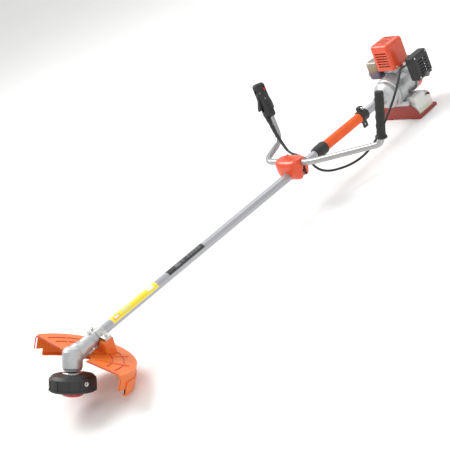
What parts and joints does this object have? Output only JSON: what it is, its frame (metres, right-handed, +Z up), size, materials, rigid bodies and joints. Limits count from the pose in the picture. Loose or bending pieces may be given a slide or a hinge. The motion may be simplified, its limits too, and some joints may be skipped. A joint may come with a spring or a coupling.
{
  "type": "string trimmer",
  "caption": "Petrol string trimmer with a straight aluminium shaft, a cowhorn handlebar with a throttle grip, a rear engine on a stand, a deflector guard and a bump-feed line head.",
  "frame": {"origin": "the floor, in the middle of the engine stand's base, below the crankshaft", "axes": "+X forward along the floor to the cutting head, +Y to the operator's left, +Z up; the shaft's axis climbs 1.65 degrees towards +X"},
  "size_m": [1.6951, 0.548, 0.3609],
  "materials": {
    "tube_aluminium": "brushed",
    "orange_shell": "moulded, slight gloss",
    "orange_guard": "moulded, fine grain",
    "orange_sleeve": "soft sleeve, satin",
    "red_stand": "moulded, satin",
    "tank_plastic": "translucent milky",
    "black_plastic": "moulded, fine grain",
    "red_button": "moulded",
    "grey_button": "moulded",
    "black_rubber": "matt",
    "clear_rubber": "milky",
    "cast_alloy": "cast, bead-blasted",
    "zinc_steel": "zinc plated",
    "machined_steel": "ground",
    "muffler_steel": "heat dulled",
    "bronze_bush": "sintered",
    "nylon_line": "glossy nylon",
    "plug_white": "rubber cap over porcelain"
  },
  "bodies": {
    "root": {"air_filter_case": "black_plastic", "air_filter_cover": "black_plastic", "cable_boot": "black_rubber", "cap_screws": "zinc_steel", "carburettor": "cast_alloy", "clamp_cover": "orange_shell", "clutch_housing": "cast_alloy", "crankcase": "cast_alloy", "cylinder": "cast_alloy", "engine_cover": "orange_shell", "front_collar": "black_plastic", "fuel_tank": "tank_plastic", "gear_case": "cast_alloy", "gear_case_bearings": "machined_steel", "guard": "orange_guard", "guard_bracket": "zinc_steel", "guard_extension": "orange_guard", "handle_clamp_blocks": "cast_alloy", "handle_clamp_cap": "cast_alloy", "handlebar": "tube_aluminium", "hanger_clamp": "black_plastic", "left_grip": "black_rubber", "line_cutter": "zinc_steel", "main_tube": "tube_aluminium", "muffler": "muffler_steel", "piston": "cast_alloy", "shaft_bushes": "bronze_bush", "shaft_sleeve": "orange_sleeve", "spark_plug": "plug_white", "starter_housing": "orange_shell", "tank_stand": "red_stand", "throttle_cable": "black_rubber", "throttle_case_inner": "black_plastic", "throttle_case_outer": "black_plastic", "throttle_fasteners": "zinc_steel"},
    "driveline": {"drive_shaft": "machined_steel", "pinion_gear": "machined_steel", "clutch_drum": "machined_steel"},
    "cutter": {"driven_gear": "machined_steel", "output_spindle": "machined_steel", "upper_flange": "zinc_steel", "head_housing": "black_plastic", "head_cover": "black_plastic", "head_spring": "machined_steel"},
    "spool": {"line_spool": "black_plastic", "wound_line": "nylon_line", "bump_knob": "red_button"},
    "crank": {"crankshaft": "machined_steel", "flywheel": "cast_alloy", "clutch_shoes": "machined_steel"},
    "trigger": {"throttle_trigger": "black_plastic"},
    "palm_lever": {"safety_lever": "black_plastic"},
    "switch": {"stop_switch": "red_button"},
    "lock_button": {"throttle_lock": "grey_button"},
    "valve": {"throttle_valve": "cast_alloy"},
    "choke": {"choke_lever": "black_plastic"},
    "primer": {"primer_bulb": "clear_rubber"},
    "cap": {"tank_cap": "black_plastic"},
    "pulley": {"starter_pulley": "black_plastic"},
    "pull_handle": {"starter_handle": "black_plastic"}
  },
  "joints": [
    {"name": "shaft_spin", "type": "hinge", "parent": "root", "child": "driveline", "pos_m": [0.69975, 0, 0.12581], "axis": [0.9996, 0, 0.0269], "continuous": true},
    {"name": "cutter_spin", "type": "hinge", "parent": "root", "child": "cutter", "pos_m": [1.51145, 0, 0.14763], "axis": [0.5231, 0, -0.8523], "continuous": true},
    {"name": "knob_press", "type": "slide", "parent": "cutter", "child": "spool", "axis": [-0.5231, 0, 0.8523], "range_m": [0, 0.005], "stiffness_N_per_m": 1500, "springref_m": -0.004},
    {"name": "crank_spin", "type": "hinge", "parent": "root", "child": "crank", "pos_m": [0, 0, 0.107], "axis": [0.9996, 0, 0.0269], "continuous": true},
    {"name": "trigger_pull", "type": "hinge", "parent": "root", "child": "trigger", "pos_m": [0.44723, -0.15563, 0.33055], "axis": [-0.0064, 0.9709, 0.2395], "range_deg": [0, 15], "stiffness_Nm_per_rad": 0.8, "springref_deg": -17.19},
    {"name": "safety_press", "type": "hinge", "parent": "root", "child": "palm_lever", "pos_m": [0.41714, -0.15556, 0.32943], "axis": [0.0064, -0.9709, -0.2395], "range_deg": [0, 6], "stiffness_Nm_per_rad": 1, "springref_deg": -11.46},
    {"name": "switch_slide", "type": "slide", "parent": "root", "child": "switch", "axis": [-0.2351, -0.2343, 0.9433], "range_m": [0, 0.005]},
    {"name": "lock_press", "type": "slide", "parent": "root", "child": "lock_button", "axis": [0.0064, -0.9709, -0.2395], "range_m": [0, 0.003], "stiffness_N_per_m": 400, "springref_m": -0.002},
    {"name": "valve_turn", "type": "hinge", "parent": "root", "child": "valve", "pos_m": [-0.00161, 0.068, 0.16698], "axis": [0.0269, 0, -0.9996], "range_deg": [0, 60]},
    {"name": "choke_turn", "type": "hinge", "parent": "root", "child": "choke", "pos_m": [-0.02733, 0.082, 0.15628], "axis": [0, 1, 0], "range_deg": [0, 40]},
    {"name": "primer_press", "type": "slide", "parent": "root", "child": "primer", "axis": [-0.0269, 0, 0.9996], "range_m": [0, 0.004], "stiffness_N_per_m": 400, "springref_m": -0.001},
    {"name": "cap_turn", "type": "hinge", "parent": "root", "child": "cap", "pos_m": [-0.03592, 0.026, 0.02901], "axis": [-0.9996, 0, -0.0269], "range_deg": [0, 540]},
    {"name": "starter_pull", "type": "slide", "parent": "root", "child": "pull_handle", "axis": [-0.0269, 0, 0.9996], "range_m": [0, 0.5], "stiffness_N_per_m": 15, "springref_m": -0.2},
    {"name": "pulley_turn", "type": "hinge", "parent": "root", "child": "pulley", "pos_m": [-0.05998, 0, 0.10539], "axis": [0.9996, 0, 0.0269], "range_deg": [0, 1150]}
  ],
  "couplings": [
    {"joint": "cutter_spin", "follows": "shaft_spin", "ratio": 0.76471},
    {"joint": "valve_turn", "follows": "trigger_pull", "ratio": 4},
    {"joint": "pulley_turn", "follows": "starter_pull", "rad_per_m": 40}
  ]
}
